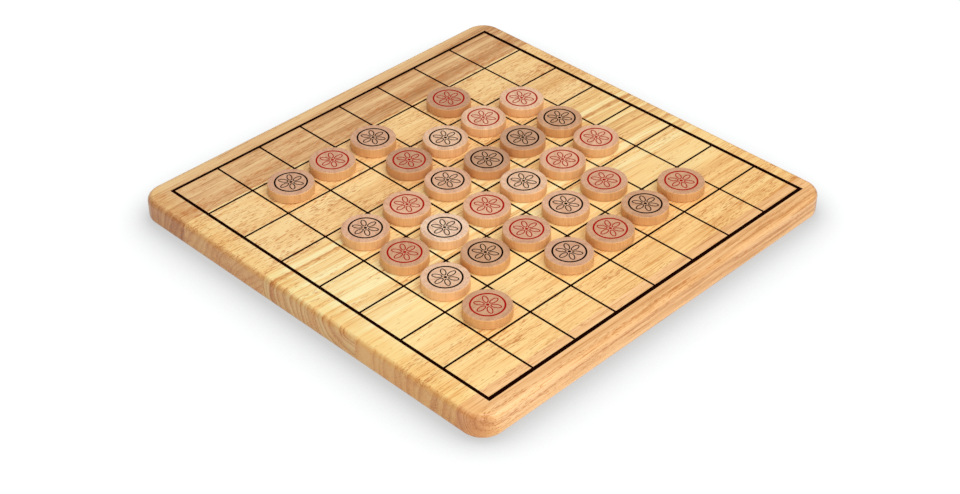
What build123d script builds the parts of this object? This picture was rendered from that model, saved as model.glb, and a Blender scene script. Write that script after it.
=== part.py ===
from build123d import *
import os

# A solid wooden game board with 30 loose round playing discs standing on it.
# Frame: +X along the board's grain, +Y across it, +Z up.
# The origin is the middle of the board's underside. All sizes are in millimetres.

# The board: one edge-glued hardwood panel.
board_length = 330.0
board_width = 326.0
board_thickness = 18.0
corner_radius = 16.0
edge_radius = 4.0

# The staves that the panel is glued up from, in order from the near long edge to the far one.
# The inner ones are full plank width. The two outer ones were trimmed when the panel was sized.
stave_widths = {
    "near_edge_stave": 22.0,
    "near_inner_stave": 87.0,
    "middle_stave": 87.0,
    "far_inner_stave": 80.0,
    "far_edge_stave": 50.0,
}

# The playing field: 8 by 8 squares, printed a little off the panel's middle.
squares = 8
square_pitch = 37.0
field_offset_x = 2.5
field_offset_y = -0.5

# The playing discs: slices of hardwood dowel with softly sanded rims.
disc_diameter = 31.75
disc_thickness = 7.0
disc_rim_radius = 0.6

# The discs on the field, far row first, with column a at the left.
# R shows its red side, K its black side, and a dot is an empty square.
disc_colours = {"R": "red", "K": "black"}
columns = "abcdefgh"
disc_rows = [
    "........",
    ".KRK.R..",
    "...RKRR.",
    ".KRKKKK.",
    ".RKRKRR.",
    ".KKRKR..",
    ".R.KRKR.",
    "........",
]

# The discs were set down by hand. These stand visibly off the middle of their squares.
hand_nudges = {
    "b2": (-1.0, -1.0),
    "e2": (0.0, -2.0),
    "c3": (-1.0, 0.5),
    "d3": (-1.5, -1.0),
    "f3": (1.5, 0.5),
    "c4": (-0.5, 1.0),
    "d4": (-0.5, -1.0),
    "e4": (-0.5, 1.0),
    "g4": (-0.5, 2.0),
    "d5": (1.5, 1.0),
    "e5": (1.0, 0.0),
    "f5": (0.5, 1.0),
    "e6": (-0.5, 2.0),
    "f6": (-0.5, 1.5),
    "d7": (1.5, 1.0),
}


def make_panel():
    """The whole panel: a thick plate with round corners and rounded top and bottom edges."""
    outline = RectangleRounded(board_length, board_width, corner_radius)
    panel = extrude(outline, board_thickness)
    faces_by_height = panel.faces().sort_by(Axis.Z)
    rims = faces_by_height[0].edges() + faces_by_height[-1].edges()
    return fillet(rims, edge_radius)


def make_stave(panel, near_y, far_y):
    """The stretch of the panel between two glue joints, which run straight along X."""
    width = far_y - near_y
    slab = Pos(0, (near_y + far_y) / 2, board_thickness / 2) * Box(
        board_length, width, board_thickness
    )
    return panel & slab


def make_disc(x, y):
    """One playing disc, standing on the board's top face with its middle at x, y."""
    disc = Pos(x, y, board_thickness + disc_thickness / 2) * Cylinder(
        disc_diameter / 2, disc_thickness
    )
    return fillet(disc.edges().filter_by(GeomType.CIRCLE), disc_rim_radius)


def square_middle(column, row):
    """The middle of a square, counted from the near left one, in the part's frame."""
    middle = (squares - 1) / 2
    x = field_offset_x + (column - middle) * square_pitch
    y = field_offset_y + (row - middle) * square_pitch
    return x, y


def all_staves():
    """Each stave by its node name, from the near long edge to the far one."""
    panel = make_panel()
    staves = {}
    near_y = -board_width / 2
    for name, width in stave_widths.items():
        staves[name] = make_stave(panel, near_y, near_y + width)
        near_y += width
    return staves


def all_discs():
    """Each disc by its node name, which gives its upper colour and its square."""
    discs = {}
    for rows_down, marks in enumerate(disc_rows):
        row = squares - 1 - rows_down
        for column, mark in enumerate(marks):
            if mark not in disc_colours:
                continue
            square = columns[column] + str(row + 1)
            x, y = square_middle(column, row)
            nudge_x, nudge_y = hand_nudges.get(square, (0.0, 0.0))
            name = disc_colours[mark] + "_disc_" + square
            discs[name] = make_disc(x + nudge_x, y + nudge_y)
    return discs


os.makedirs("parts", exist_ok=True)
for node, solid in {**all_staves(), **all_discs()}.items():
    export_step(solid, "parts/" + node + ".step")
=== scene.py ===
import math
import random
import bpy
import mathutils
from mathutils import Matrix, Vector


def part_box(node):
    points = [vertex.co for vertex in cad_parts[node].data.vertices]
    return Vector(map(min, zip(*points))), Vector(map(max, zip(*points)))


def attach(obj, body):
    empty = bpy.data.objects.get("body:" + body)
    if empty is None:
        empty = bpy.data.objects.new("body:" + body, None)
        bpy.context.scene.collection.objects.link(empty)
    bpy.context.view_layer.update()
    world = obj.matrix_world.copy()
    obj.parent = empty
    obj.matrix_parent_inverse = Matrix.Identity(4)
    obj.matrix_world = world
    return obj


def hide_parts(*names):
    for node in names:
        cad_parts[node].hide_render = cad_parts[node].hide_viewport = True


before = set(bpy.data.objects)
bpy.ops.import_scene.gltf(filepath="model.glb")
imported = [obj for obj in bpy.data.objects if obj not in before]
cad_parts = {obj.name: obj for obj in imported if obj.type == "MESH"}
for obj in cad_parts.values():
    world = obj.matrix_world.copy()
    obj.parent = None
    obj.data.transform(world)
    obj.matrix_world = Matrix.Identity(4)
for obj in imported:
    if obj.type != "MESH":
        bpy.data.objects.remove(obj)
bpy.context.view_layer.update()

# The board: a flat panel of pale plantation hardwood (rubberwood), glued up edge to edge from
# five staves, planed, cut to size with round corners, and run round with a rounding-over bit.
MM = 0.001
staves_near_to_far = [
    "near_edge_stave",
    "near_inner_stave",
    "middle_stave",
    "far_inner_stave",
    "far_edge_stave",
]
corner_radius = 16 * MM
edge_radius = 4 * MM
board_low = mathutils.Vector(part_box("near_edge_stave")[0])
board_high = mathutils.Vector(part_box("far_edge_stave")[1])
board_top = board_high.z


def start_fresh():
    """Nothing selected and nothing in edit mode, so that an operator acts on new work alone."""
    if bpy.context.object and bpy.context.object.mode != "OBJECT":
        bpy.ops.object.mode_set(mode="OBJECT")
    bpy.ops.object.select_all(action="DESELECT")


def pick_up(piece):
    """This piece alone is selected and active."""
    start_fresh()
    piece.select_set(True)
    bpy.context.view_layer.objects.active = piece


def place_in_mesh(piece):
    """The finished piece's object sits at the origin, with its place in its mesh."""
    pick_up(piece)
    bpy.ops.object.transform_apply(location=True, rotation=True, scale=True)


start_fresh()
bpy.ops.mesh.primitive_cube_add(
    size=1,
    location=(board_low + board_high) / 2,
    scale=board_high - board_low,
)
panel = bpy.context.object
panel.name = "panel"
place_in_mesh(panel)
bpy.ops.object.mode_set(mode="EDIT")


def select_edges(piece, wanted):
    """In edit mode, selects edges by how far they climb from end to end, in metres."""
    bpy.ops.mesh.select_all(action="DESELECT")
    bpy.ops.mesh.select_mode(type="EDGE")
    bpy.ops.object.mode_set(mode="OBJECT")
    for edge in piece.data.edges:
        start, end = (piece.data.vertices[corner].co for corner in edge.vertices)
        edge.select = wanted(abs(start.z - end.z))
    bpy.ops.object.mode_set(mode="EDIT")


select_edges(panel, lambda climb: climb > MM)
bpy.ops.mesh.bevel(offset=corner_radius, segments=20, affect="EDGES")
select_edges(panel, lambda climb: climb < MM)
bpy.ops.mesh.bevel(offset=edge_radius, segments=8, affect="EDGES", clamp_overlap=False)
bpy.ops.object.mode_set(mode="OBJECT")


def smooth_with_flat_faces(piece):
    """Rounded edges shade smoothly, and the flat faces between them stay flat."""
    pick_up(piece)
    bpy.ops.object.shade_smooth_by_angle(angle=math.radians(40))
    weigh = piece.modifiers.new("weigh", "WEIGHTED_NORMAL")
    weigh.keep_sharp = True
    bpy.ops.object.modifier_apply(modifier=weigh.name)


def cut_stave(name):
    """A copy of the panel, sawn along the stave's two glue joints."""
    low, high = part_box(name)
    pick_up(panel)
    bpy.ops.object.duplicate()
    stave = bpy.context.object
    stave.name = "solid_" + name
    bpy.ops.object.mode_set(mode="EDIT")
    for joint_y, drop_near in ((low[1], True), (high[1], False)):
        inside_panel = board_low.y + MM < joint_y < board_high.y - MM
        if not inside_panel:
            continue
        bpy.ops.mesh.select_all(action="SELECT")
        bpy.ops.mesh.bisect(
            plane_co=(0, joint_y, 0),
            plane_no=(0, 1, 0),
            use_fill=True,
            clear_inner=drop_near,
            clear_outer=not drop_near,
        )
    bpy.ops.object.mode_set(mode="OBJECT")
    smooth_with_flat_faces(stave)
    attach(stave, "board")
    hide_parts(name)
    return stave


staves = {name: cut_stave(name) for name in staves_near_to_far}
bpy.data.objects.remove(panel)


def srgb(hex_text):
    """A colour written as it is seen, turned to the linear values that shaders work in."""
    channels = [int(hex_text[i : i + 2], 16) / 255 for i in (1, 3, 5)]
    linear = [c / 12.92 if c <= 0.04045 else ((c + 0.055) / 1.055) ** 2.4 for c in channels]
    return (*linear, 1)


def add(tree, kind, inputs=None, output=0, **settings):
    """Adds a node with its settings and links, and gives back one of its outputs.

    An input goes by its name, or by its number where several share one: a maths node counts
    its values from 0, and a colour mix has its factor at 0 and its two colours at 6 and 7.
    """
    node = tree.nodes.new(kind)
    for name, value in settings.items():
        setattr(node, name, value)
    for name, value in (inputs or {}).items():
        if isinstance(value, bpy.types.NodeSocket):
            tree.links.new(value, node.inputs[name])
        else:
            node.inputs[name].default_value = value
    return node.outputs[output]


def lacquered_rubberwood(name, pith, lean, rise, along, ring, colours, contrast, streaks, dashes):
    """Rubberwood, planed with its grain along X, sanded and lacquered satin.

    The eye gets straw-coloured wood with curved growth rings, soft streaks, short brown vessel
    dashes along the grain, a browner end grain, and a low sheen that the fibres break up.

    The rings lie round the log's middle, the pith, which runs along the stave at this y and z
    in mm, turned off X by lean degrees sideways and rise degrees upwards. along is how far up
    the log the stave was cut, and ring is the rings' usual width, both in mm. The colours are
    its dark, usual and pale wood, and contrast is how much its rings differ. Each streak has a
    distance from the pith and a width in mm, and how much paler it is. More dashes means more
    vessels.
    """
    dark, body, pale = colours
    vessel_brown = "#c67b3a"
    early_end_grain = "#ddcac3"
    late_end_grain = "#bf9f8c"
    honey_tint = "#fcf3e0"

    material = bpy.data.materials.new(name)
    material.use_nodes = True
    tree = material.node_tree
    shader = tree.nodes["Principled BSDF"]
    place = add(tree, "ShaderNodeTexCoord", output="Object")
    grain = add(
        tree,
        "ShaderNodeMapping",
        {
            "Vector": place,
            "Scale": (1000, 1000, 1000),
            "Rotation": (0, math.radians(rise), math.radians(lean)),
            "Location": (along, -pith[0], -pith[1]),
        },
    )

    # Each noise is drawn out along the grain: its grains' length and width in mm, and detail.
    # Fibres are 0.02 mm wide and vessels 0.2 mm. They are drawn wider, or they wouldn't show.
    grown = {}
    for part, length, width, detail in (
        ("wander", 130, 30, 2),
        ("broad", 170, 16, 2),
        ("fibres", 30, 0.8, 3),
        ("vessels", 5, 0.6, 1),
        ("crowding", 48, 9, 2),
    ):
        drawn_out = add(
            tree,
            "ShaderNodeVectorMath",
            {0: grain, 1: (1 / length, 1 / width, 1 / width)},
            operation="MULTIPLY",
        )
        grown[part] = add(
            tree,
            "ShaderNodeTexNoise",
            {"Vector": drawn_out, "Scale": 1, "Detail": detail, "Roughness": 0.55},
            output="Color" if part == "wander" else "Fac",
        )

    # The rings wander off a circle by a few mm, and no two are equally wide or dark.
    wander_span = 10
    wander = add(
        tree,
        "ShaderNodeVectorMath",
        {
            0: grown["wander"],
            1: (0, wander_span, wander_span),
            2: (0, -wander_span / 2, -wander_span / 2),
        },
        operation="MULTIPLY_ADD",
    )
    across = add(
        tree, "ShaderNodeVectorMath", {0: grain, 1: (0, 1, 1), 2: wander}, operation="MULTIPLY_ADD"
    )
    radius = add(tree, "ShaderNodeVectorMath", {0: across}, "Value", operation="LENGTH")
    uneven = add(
        tree,
        "ShaderNodeTexNoise",
        {"W": radius, "Scale": 0.35 / ring, "Detail": 1},
        noise_dimensions="1D",
    )
    turns = add(tree, "ShaderNodeMath", {0: radius, 1: 1 / ring}, operation="MULTIPLY")
    turns = add(tree, "ShaderNodeMath", {0: uneven, 1: 3, 2: turns}, operation="MULTIPLY_ADD")
    ring_number = add(tree, "ShaderNodeMath", {0: turns}, operation="FLOOR")
    ring_tone = add(tree, "ShaderNodeTexWhiteNoise", {"W": ring_number}, noise_dimensions="1D")
    into_ring = add(tree, "ShaderNodeMath", {0: turns}, operation="FRACT")
    late_wood = add(
        tree,
        "ShaderNodeMapRange",
        {"Value": into_ring, "From Min": 0.35},
        interpolation_type="SMOOTHSTEP",
    )

    # The streaks are stops on a ramp that reaches this many mm out from the pith.
    streak_reach = 200
    plain = 0.5
    figure = add(tree, "ShaderNodeMapRange", {"Value": radius, "From Max": streak_reach})
    figure = add(tree, "ShaderNodeValToRGB", {"Fac": figure})
    stops = figure.node.color_ramp.elements
    for end in stops:
        end.color = (plain, plain, plain, 1)
    for distance, width, paler in streaks:
        for offset, change in ((-0.5, 0), (-0.15, paler), (0.15, paler), (0.5, 0)):
            stop = stops.new((distance + offset * width) / streak_reach)
            stop.color = (plain + change, plain + change, plain + change, 1)

    # Here and there a bundle of fibres is brown right through, as a thin broken line.
    lines = add(
        tree, "ShaderNodeMapRange", {"Value": grown["fibres"], "From Min": 0.42, "From Max": 0.3}
    )

    # Towards the +X end the wood is deeper in colour. All that changes the tone is added up, each
    # by its share, and the shares' usual sum is taken off.
    length_wise = add(tree, "ShaderNodeSeparateXYZ", {"Vector": place})
    broad_share = 0.9
    fibre_share = 1
    shares = (
        (lines, -0.33),
        (length_wise, -0.7),
        (ring_tone, contrast),
        (late_wood, -0.7 * contrast),
        (grown["broad"], broad_share),
        (grown["fibres"], fibre_share),
    )
    tone = -0.5 * (broad_share + fibre_share) - 0.15 * contrast
    for part, share in shares:
        tone = add(tree, "ShaderNodeMath", {0: part, 1: share, 2: tone}, operation="MULTIPLY_ADD")
    tone = add(tree, "ShaderNodeMath", {0: tone, 1: figure}, operation="ADD")
    wood = add(tree, "ShaderNodeValToRGB", {"Fac": tone})
    shades = wood.node.color_ramp.elements
    shades[0].position = 0.05
    shades[0].color = srgb(dark)
    shades[1].position = 0.95
    shades[1].color = srgb(pale)
    shades.new(0.5).color = srgb(body)

    # Vessels crowd together in patches, and more of them lie in the darker streaks.
    crowded = grown["vessels"]
    for part, share in ((grown["crowding"], 0.45), (figure, -0.5)):
        crowded = add(
            tree, "ShaderNodeMath", {0: part, 1: share, 2: crowded}, operation="MULTIPLY_ADD"
        )
    vessels = add(
        tree,
        "ShaderNodeMapRange",
        {"Value": crowded, "From Min": 0.69 - dashes, "From Max": 0.77 - dashes, "To Max": 0.8},
    )
    wood = add(
        tree, "ShaderNodeMix", {0: vessels, 6: wood, 7: srgb(vessel_brown)}, 2, data_type="RGBA"
    )

    # Cut across the grain, the wood drinks more lacquer: it turns browner and its rings show.
    normal = add(tree, "ShaderNodeNewGeometry", output="Normal")
    facing = add(tree, "ShaderNodeSeparateXYZ", {"Vector": normal}).node
    facing_x = add(tree, "ShaderNodeMath", {0: facing.outputs["X"]}, operation="ABSOLUTE")
    end_grain = add(
        tree, "ShaderNodeMapRange", {"Value": facing_x, "From Min": 0.1, "From Max": 0.75}
    )
    soaking = add(
        tree, "ShaderNodeMapRange", {"Value": late_wood, "To Max": 0.15 + 1.8 * contrast}
    )
    soaked = add(
        tree,
        "ShaderNodeMix",
        {0: soaking, 6: srgb(early_end_grain), 7: srgb(late_end_grain)},
        2,
        data_type="RGBA",
    )
    wood = add(
        tree,
        "ShaderNodeMix",
        {0: end_grain, 6: wood, 7: soaked},
        2,
        data_type="RGBA",
        blend_type="MULTIPLY",
    )

    # On the roundings of both ends and in from the -X end, the wood is tinted honey: warmer and a
    # little darker.
    rounding = add(
        tree,
        "ShaderNodeMath",
        {0: facing_x, 1: facing.outputs["Z"]},
        operation="MULTIPLY",
    )
    rounding = add(tree, "ShaderNodeMapRange", {"Value": rounding, "From Max": 0.5})
    from_end = add(
        tree,
        "ShaderNodeMapRange",
        {"Value": length_wise, "From Min": -148 * MM, "From Max": -156 * MM, "To Max": 0.8},
    )
    honey = add(tree, "ShaderNodeMath", {0: rounding, 1: from_end}, operation="MAXIMUM")
    wood = add(
        tree,
        "ShaderNodeMix",
        {0: honey, 6: wood, 7: srgb(honey_tint)},
        2,
        data_type="RGBA",
        blend_type="MULTIPLY",
    )
    tree.links.new(wood, shader.inputs["Base Color"])

    # The lacquer sinks a little into the open vessels and between the fibres, and its satin
    # sheen changes from one bundle of fibres to the next.
    height = add(
        tree, "ShaderNodeMath", {0: grown["fibres"], 1: 0.4, 2: vessels}, operation="MULTIPLY_ADD"
    )
    relief = add(
        tree,
        "ShaderNodeBump",
        {"Height": height, "Strength": 0.3, "Distance": 0.08 * MM},
        invert=True,
    )
    tree.links.new(relief, shader.inputs["Normal"])
    satin = add(
        tree,
        "ShaderNodeMapRange",
        {
            "Value": grown["fibres"],
            "From Min": 0.3,
            "From Max": 0.7,
            "To Min": 0.36,
            "To Max": 0.5,
        },
    )
    tree.links.new(satin, shader.inputs["Roughness"])
    shader.inputs["IOR"].default_value = 1.5
    shader.inputs["Specular IOR Level"].default_value = 0.2
    shader.inputs["Coat Weight"].default_value = 0.35
    shader.inputs["Coat Roughness"].default_value = 0.2
    return material


stave_looks = {
    "near_edge_stave": dict(
        pith=(-164, 17), lean=0.1, rise=0.05, along=400, ring=4,
        colours=("#c78747", "#ecb67a", "#fdcf96"),
        contrast=0.25,
        streaks=((5, 3, -0.25), (9, 1.6, -0.08), (13.2, 4.5, 0.27)),
        dashes=0.06,
    ),
    "near_inner_stave": dict(
        pith=(-220, -5), lean=-0.5, rise=0, along=0, ring=7,
        colours=("#dc9a50", "#facd86", "#ffe5a2"),
        contrast=0.15,
        streaks=((78, 12, -0.17), (99.7, 9, -0.1), (158, 54, 0.17)),
        dashes=0.09,
    ),
    "middle_stave": dict(
        pith=(-59.2, 28), lean=2.5, rise=0, along=900, ring=4.5,
        colours=("#d29556", "#f9cf88", "#fff0b6"),
        contrast=0.3,
        streaks=(
            (12.5, 8, 0.18),
            (24.7, 3, -0.2),
            (33.1, 6, 0.3),
            (39.9, 3, -0.25),
            (48.6, 7, 0.2),
            (76.4, 6, -0.18),
            (83, 6, 0.35),
        ),
        dashes=0.06,
    ),
    "far_inner_stave": dict(
        pith=(-30, -45), lean=1.0, rise=2, along=1500, ring=5,
        colours=("#dfa660", "#fbd08e", "#ffe6aa"),
        contrast=0.16,
        streaks=(),
        dashes=0.14,
    ),
    "far_edge_stave": dict(
        pith=(60, -8), lean=-0.5, rise=0, along=2050, ring=4.5,
        colours=("#aa723d", "#e0ae77", "#f1cc93"),
        contrast=0.2,
        streaks=((60, 5, -0.2), (68.5, 10, -0.19), (80, 9, 0.12), (100, 14, 0.17)),
        dashes=0.12,
    ),
}
for name, look in stave_looks.items():
    staves[name].data.materials.clear()
    staves[name].data.materials.append(
        lacquered_rubberwood("lacquered_rubberwood_" + name, **look)
    )

# The playing field: black ink, screen-printed on the bare sanded wood before the lacquer. It is
# one film with straight edges: thin lines between the squares and a heavier border round them.
squares = 8
square_pitch = 37 * MM
field_middle = mathutils.Vector((2.5 * MM, -0.5 * MM, board_top))
thin_line = 1.5 * MM
border_inner = 147.8 * MM
border_outer = 150.4 * MM
# The border came out bolder on its near and right sides, as when a screen slips a little.
border_slip = (0.25 * MM, -0.3 * MM)
line_black = "#180401"
ink_film = 0.04 * MM


def screen_printed_ink(name, colour):
    """Screen ink: a flat, matt film that swallows light and thins out over the hard fibres.

    A little of the wood's brown comes through in the thin places. They are drawn 0.9 mm wide,
    which is coarser than they are, or they wouldn't show.
    """
    wood_showing = "#a8764a"
    material = bpy.data.materials.new(name)
    material.use_nodes = True
    tree = material.node_tree
    shader = tree.nodes["Principled BSDF"]
    place = add(tree, "ShaderNodeTexCoord", output="Object")
    fine = add(
        tree, "ShaderNodeTexNoise", {"Vector": place, "Scale": 1 / (0.9 * MM), "Detail": 3}
    )
    thinness = add(
        tree,
        "ShaderNodeMapRange",
        {"Value": fine, "From Min": 0.55, "From Max": 0.8, "To Max": 0.04},
    )
    film = add(
        tree,
        "ShaderNodeMix",
        {0: thinness, 6: srgb(colour), 7: srgb(wood_showing)},
        2,
        data_type="RGBA",
    )
    tree.links.new(film, shader.inputs["Base Color"])
    shader.inputs["Roughness"].default_value = 0.8
    shader.inputs["Specular IOR Level"].default_value = 0
    return material


start_fresh()
bpy.ops.mesh.primitive_grid_add(
    x_subdivisions=squares,
    y_subdivisions=squares,
    size=squares * square_pitch,
    location=field_middle,
)
field = bpy.context.object
field.name = "printed_field"
bpy.ops.object.mode_set(mode="EDIT")
bpy.ops.mesh.select_all(action="SELECT")
bpy.ops.mesh.inset(thickness=thin_line / 2, use_individual=True)
bpy.ops.mesh.delete(type="FACE")
bpy.ops.object.mode_set(mode="OBJECT")

# The outermost corners move out to the border's two edges, which makes it the heavier line.
field_half = squares * square_pitch / 2
for corner in field.data.vertices:
    for axis in (0, 1):
        off_middle = abs(corner.co[axis])
        if off_middle > field_half - thin_line / 4:
            corner.co[axis] = math.copysign(border_outer, corner.co[axis]) + border_slip[axis]
        elif off_middle > field_half - MM:
            corner.co[axis] = math.copysign(border_inner, corner.co[axis])
place_in_mesh(field)
film = field.modifiers.new("film", "SOLIDIFY")
film.thickness = ink_film
film.offset = 1
bpy.ops.object.modifier_apply(modifier=film.name)
field.data.materials.clear()
field.data.materials.append(screen_printed_ink("screen_printed_line_ink", line_black))
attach(field, "board")

# The playing discs: slices of hardwood dowel, so their faces are end grain and the grain runs
# up their sides. Each was tumbled, which eased its rims, and no two came from the same stick.
disc_names = sorted(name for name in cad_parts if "_disc_" in name)
rim_ease = 0.7 * MM
chance = random.Random(7)

start_fresh()
low, high = (mathutils.Vector(end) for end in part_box(disc_names[0]))
disc_radius = (high.x - low.x) / 2
disc_height = high.z - low.z
bpy.ops.mesh.primitive_cylinder_add(vertices=96, radius=disc_radius, depth=disc_height)
blank = bpy.context.object
blank.name = "disc_blank"
bpy.ops.object.mode_set(mode="EDIT")
select_edges(blank, lambda climb: climb < MM / 10)
bpy.ops.mesh.bevel(offset=rim_ease, segments=5, affect="EDGES")
bpy.ops.object.mode_set(mode="OBJECT")
smooth_with_flat_faces(blank)


def sanded_dowel(name, middle, turn, face, side):
    """Hardwood dowel, crosscut and sanded with its grain along Z, under a thin dull lacquer.

    The eye gets matt end grain above, dotted all over with cut fibres, and a plainer, warmer
    side with faint fibres up it. middle is the disc's, in metres, and turn is in radians.
    """
    fibre_brown = "#b98a63"
    material = bpy.data.materials.new(name)
    material.use_nodes = True
    tree = material.node_tree
    shader = tree.nodes["Principled BSDF"]
    place = add(tree, "ShaderNodeTexCoord", output="Object")
    centred = add(
        tree,
        "ShaderNodeMapping",
        {"Vector": place, "Scale": (1000, 1000, 1000), "Location": [-1000 * c for c in middle]},
    )
    # The turn also moves each disc to another part of the stick, so that no two look alike.
    grain = add(
        tree,
        "ShaderNodeMapping",
        {"Vector": centred, "Rotation": (0, 0, turn), "Location": (41, 13, 50 * turn)},
    )
    normal = add(tree, "ShaderNodeNewGeometry", output="Normal")
    facing_z = add(tree, "ShaderNodeSeparateXYZ", {"Vector": normal}, "Z")
    facing_z = add(tree, "ShaderNodeMath", {0: facing_z}, operation="ABSOLUTE")
    end_grain = add(
        tree, "ShaderNodeMapRange", {"Value": facing_z, "From Min": 0.55, "From Max": 0.95}
    )
    wood = add(
        tree,
        "ShaderNodeMix",
        {0: end_grain, 6: srgb(side), 7: srgb(face)},
        2,
        data_type="RGBA",
    )

    # The growth rings are 3 mm wide. The fibres are drawn 0.7 mm wide, far wider than they are,
    # so that they show. Cut through, they are open and drink the lacquer, so they are twice as
    # dark as on the side.
    strength = add(tree, "ShaderNodeMapRange", {"Value": end_grain, "To Min": 0.45})
    for size, low, high, most in (
        ((1 / 3, 1 / 40, 1 / 90), 0.42, 0.68, 0.3),
        ((1 / 0.7, 1 / 0.7, 1 / 12), 0.48, 0.74, 0.7),
    ):
        drawn_out = add(tree, "ShaderNodeVectorMath", {0: grain, 1: size}, operation="MULTIPLY")
        fibres = add(
            tree,
            "ShaderNodeTexNoise",
            {"Vector": drawn_out, "Scale": 1, "Detail": 3, "Roughness": 0.6},
        )
        brown = add(
            tree,
            "ShaderNodeMapRange",
            {"Value": fibres, "From Min": low, "From Max": high, "To Max": most},
        )
        brown = add(tree, "ShaderNodeMath", {0: brown, 1: strength}, operation="MULTIPLY")
        wood = add(
            tree,
            "ShaderNodeMix",
            {0: brown, 6: wood, 7: srgb(fibre_brown)},
            2,
            data_type="RGBA",
            blend_type="MULTIPLY",
        )
    tree.links.new(wood, shader.inputs["Base Color"])
    relief = add(
        tree, "ShaderNodeBump", {"Height": fibres, "Strength": 0.25, "Distance": 0.1 * MM}
    )
    tree.links.new(relief, shader.inputs["Normal"])
    shader.inputs["Roughness"].default_value = 0.5
    shader.inputs["IOR"].default_value = 1.5
    shader.inputs["Specular IOR Level"].default_value = 0.25
    return material


# Each stick had its own tone: the colour of its end grain, then of its side.
disc_tones = {
    "palest": ("#f4d2b5", "#ffd29b"),
    "pale": ("#efc7a5", "#fecb91"),
    "middle": ("#e8ba98", "#f6c388"),
    "tan": ("#dcae8d", "#eeb97c"),
    "ruddy": ("#d5a681", "#ebb375"),
    "brown": ("#ca9e7d", "#dfa46c"),
}
disc_tone_of = {
    "palest": ["c4"],
    "pale": ["b3", "g6", "f6", "e4", "e6"],
    "middle": ["f4", "d4", "c5", "d5", "e3", "g4", "b5"],
    "tan": ["b7", "c7", "d3", "f3", "d2", "d7"],
    "ruddy": ["b4", "b2", "c3", "e2", "f2", "g2", "g5"],
    "brown": ["d6", "f7", "f5", "e5"],
}
tone_by_square = {square: tone for tone, all_of in disc_tone_of.items() for square in all_of}

for name in disc_names:
    low, high = (mathutils.Vector(end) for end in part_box(name))
    middle = (low + high) / 2
    pick_up(blank)
    bpy.ops.object.duplicate()
    disc = bpy.context.object
    disc.name = "solid_" + name
    disc.location = middle
    place_in_mesh(disc)
    face, side = disc_tones[tone_by_square[name[-2:]]]
    turn = chance.uniform(0, 2 * math.pi)
    disc.data.materials.clear()
    disc.data.materials.append(sanded_dowel("sanded_dowel_" + name, middle, turn, face, side))
    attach(disc, name)
    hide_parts(name)
bpy.data.objects.remove(blank)

# The print on both faces of a disc: a plain ring round a six-petalled flower, red on one face
# and black on the other, screen-printed like the field and just as thin.
ring_radius = 10.9 * MM
ring_line = 1.2 * MM
petals = 6
petal_length = 7.3 * MM
petal_width = 3.9 * MM
petal_start = 1.8 * MM
petal_line = 0.7 * MM
seed_radius = 1.1 * MM

start_fresh()
bpy.ops.mesh.primitive_circle_add(vertices=96, radius=ring_radius + ring_line / 2, fill_type="NGON")
stamp = bpy.context.object
stamp.name = "stamp"
bpy.ops.object.mode_set(mode="EDIT")
bpy.ops.mesh.select_all(action="SELECT")
bpy.ops.mesh.inset(thickness=ring_line)
bpy.ops.mesh.delete(type="FACE")
for petal in range(petals):
    bpy.ops.mesh.primitive_circle_add(vertices=32, radius=0.5, fill_type="NGON")
    bpy.ops.transform.resize(value=(petal_length, petal_width, 1), center_override=(0, 0, 0))
    bpy.ops.transform.translate(value=(petal_start + petal_length / 2, 0, 0))
    bpy.ops.transform.rotate(
        value=2 * math.pi * petal / petals, orient_axis="Z", center_override=(0, 0, 0)
    )
    bpy.ops.mesh.inset(thickness=petal_line)
    bpy.ops.mesh.delete(type="FACE")
bpy.ops.mesh.primitive_circle_add(vertices=24, radius=seed_radius, fill_type="NGON")
bpy.ops.object.mode_set(mode="OBJECT")

disc_inks = {
    "red": screen_printed_ink("screen_printed_red_ink", "#a81410"),
    "black": screen_printed_ink("screen_printed_black_ink", "#160a06"),
}
other_ink = {"red": "black", "black": "red"}


def print_face(name, face_z, up, colour):
    """The stamp's film on one face of a disc, standing out of it by its own thickness."""
    low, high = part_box(name)
    pick_up(stamp)
    bpy.ops.object.duplicate()
    film_piece = bpy.context.object
    film_piece.name = colour + ("_top_print_" if up else "_under_print_") + name[-2:]
    film_piece.location = ((low[0] + high[0]) / 2, (low[1] + high[1]) / 2, face_z)
    if not up:
        film_piece.rotation_euler = (math.pi, 0, 0)
    place_in_mesh(film_piece)
    thickness = film_piece.modifiers.new("film", "SOLIDIFY")
    thickness.thickness = ink_film
    thickness.offset = 1
    bpy.ops.object.modifier_apply(modifier=thickness.name)
    film_piece.data.materials.clear()
    film_piece.data.materials.append(disc_inks[colour])
    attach(film_piece, name)


for name in disc_names:
    low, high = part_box(name)
    upper = name.split("_")[0]
    print_face(name, high[2], True, upper)
    print_face(name, low[2], False, other_ink[upper])
bpy.data.objects.remove(stamp)

# The studio: a white paper floor with the board's soft shadow painted into its glow, three
# softboxes above, to the right and in front, and an even white surround. None of it is part of the
# object.
start_fresh()
bpy.ops.mesh.primitive_plane_add(size=20, location=(0, 0, 0))
floor = bpy.context.object
floor.name = "studio_floor"
paper = bpy.data.materials.new("matt_white_paper")
paper.use_nodes = True
tree = paper.node_tree
shader = tree.nodes["Principled BSDF"]
shader.inputs["Roughness"].default_value = 0.9
shader.inputs["Specular IOR Level"].default_value = 0
rays = add(tree, "ShaderNodeLightPath", output="Is Camera Ray").node
seen = rays.outputs["Is Camera Ray"]
for kind in ("Is Glossy Ray", "Is Transmission Ray"):
    seen = add(tree, "ShaderNodeMath", {0: seen, 1: rays.outputs[kind]}, operation="MAXIMUM")
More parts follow.
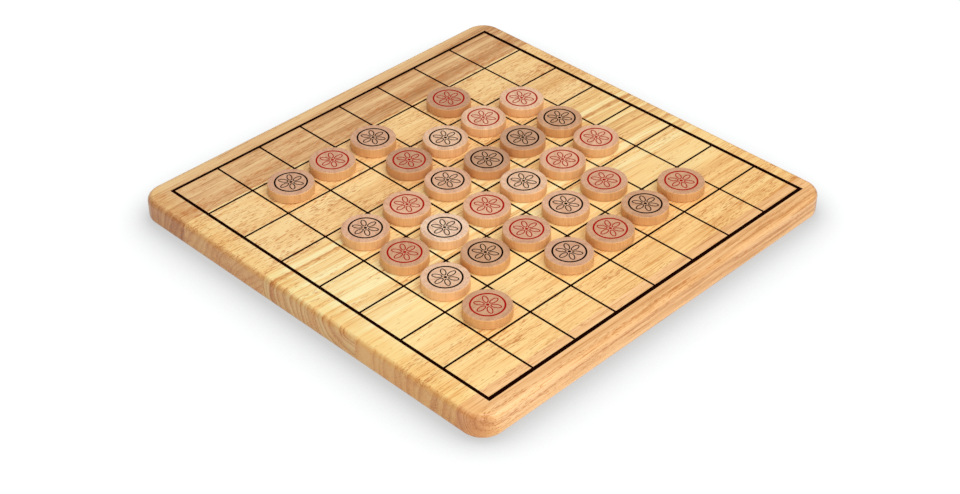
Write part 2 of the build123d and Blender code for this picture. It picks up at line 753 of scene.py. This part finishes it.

# Seen straight or in a reflection, the paper glows white, and less so the nearer the board is:
# a painted shadow, deepest where the board shelters the paper most. Its own tone is dark there,
# so that glow and lamplight together don't come to more than white and drown the lamps' shadows.
# To all other light it is plain white paper.
painted_shadow_reach = 60 * MM
glow_in_painted_shadow = 0.59
paper_white = "#f7f7f7"
paper_under_glow = "#4a4d4f"
# Painted shadow: the glow dims by how much the board shelters the paper.
shelter = add(tree, "ShaderNodeAmbientOcclusion", {"Distance": painted_shadow_reach}, "AO", samples=12)
openness = add(tree, "ShaderNodeMapRange", {"Value": shelter, "From Min": 0.5})
openness = add(tree, "ShaderNodeMath", {0: openness, 1: 1.8}, operation="POWER")
glow = add(tree, "ShaderNodeMapRange", {"Value": openness, "To Min": glow_in_painted_shadow, "To Max": 1})
glow = add(tree, "ShaderNodeMath", {0: glow, 1: seen}, operation="MULTIPLY")
tree.links.new(glow, shader.inputs["Emission Strength"])
paper_tone = add(
    tree,
    "ShaderNodeMix",
    {0: seen, 6: srgb(paper_white), 7: srgb(paper_under_glow)},
    2,
    data_type="RGBA",
)
tree.links.new(paper_tone, shader.inputs["Base Color"])
shader.inputs["Emission Color"].default_value = (1, 1, 1, 1)
floor.data.materials.append(paper)

# The surround lights the board at this strength, and is seen as white.
surround_light = 0.4
world = bpy.data.worlds.new("studio_surround")
world.use_nodes = True
surround = world.node_tree.nodes["Background"]
surround.inputs["Color"].default_value = (1, 1, 1, 1)
seen = add(world.node_tree, "ShaderNodeLightPath", output="Is Camera Ray")
white = add(
    world.node_tree, "ShaderNodeMapRange", {"Value": seen, "To Min": surround_light, "To Max": 1}
)
world.node_tree.links.new(white, surround.inputs["Strength"])
bpy.context.scene.world = world


def softbox(name, place, size, watts):
    """A square soft light, its place and width in metres, aimed at the board's middle."""
    lamp = bpy.data.lights.new(name, "AREA")
    lamp.shape = "SQUARE"
    lamp.size = size
    lamp.energy = watts
    box = bpy.data.objects.new(name, lamp)
    bpy.context.collection.objects.link(box)
    box.location = place
    aim = -mathutils.Vector(place)
    box.rotation_euler = aim.to_track_quat("-Z", "Y").to_euler()


softbox("key_softbox", (0.24, -0.91, 1.35), 0.9, 9.5)
softbox("front_softbox", (-0.94, -0.94, 0.43), 0.5, 5.2)
softbox("top_softbox", (0.15, 0.05, 1.5), 0.35, 6)

# The camera stands where the photographer's did: high over the near corner, looking along the
# board's diagonal and down at it. Its place is in metres and its angles are in degrees.
camera_place = (-0.7024, -0.6953, 0.7119)
look_heading = 44.83
look_down = 36.858
roll = -0.11
lens_mm = 67.36
camera_data = bpy.data.cameras.new("camera")
camera_data.sensor_width = 36
camera_data.lens = lens_mm
camera = bpy.data.objects.new("camera", camera_data)
bpy.context.collection.objects.link(camera)
camera.location = camera_place
facing = mathutils.Euler(
    (math.radians(90 - look_down), 0, math.radians(look_heading - 90))
).to_matrix()
camera.rotation_euler = (facing @ mathutils.Matrix.Rotation(math.radians(roll), 3, "Z")).to_euler()
bpy.context.scene.camera = camera
bpy.context.scene.view_settings.view_transform = "Standard"
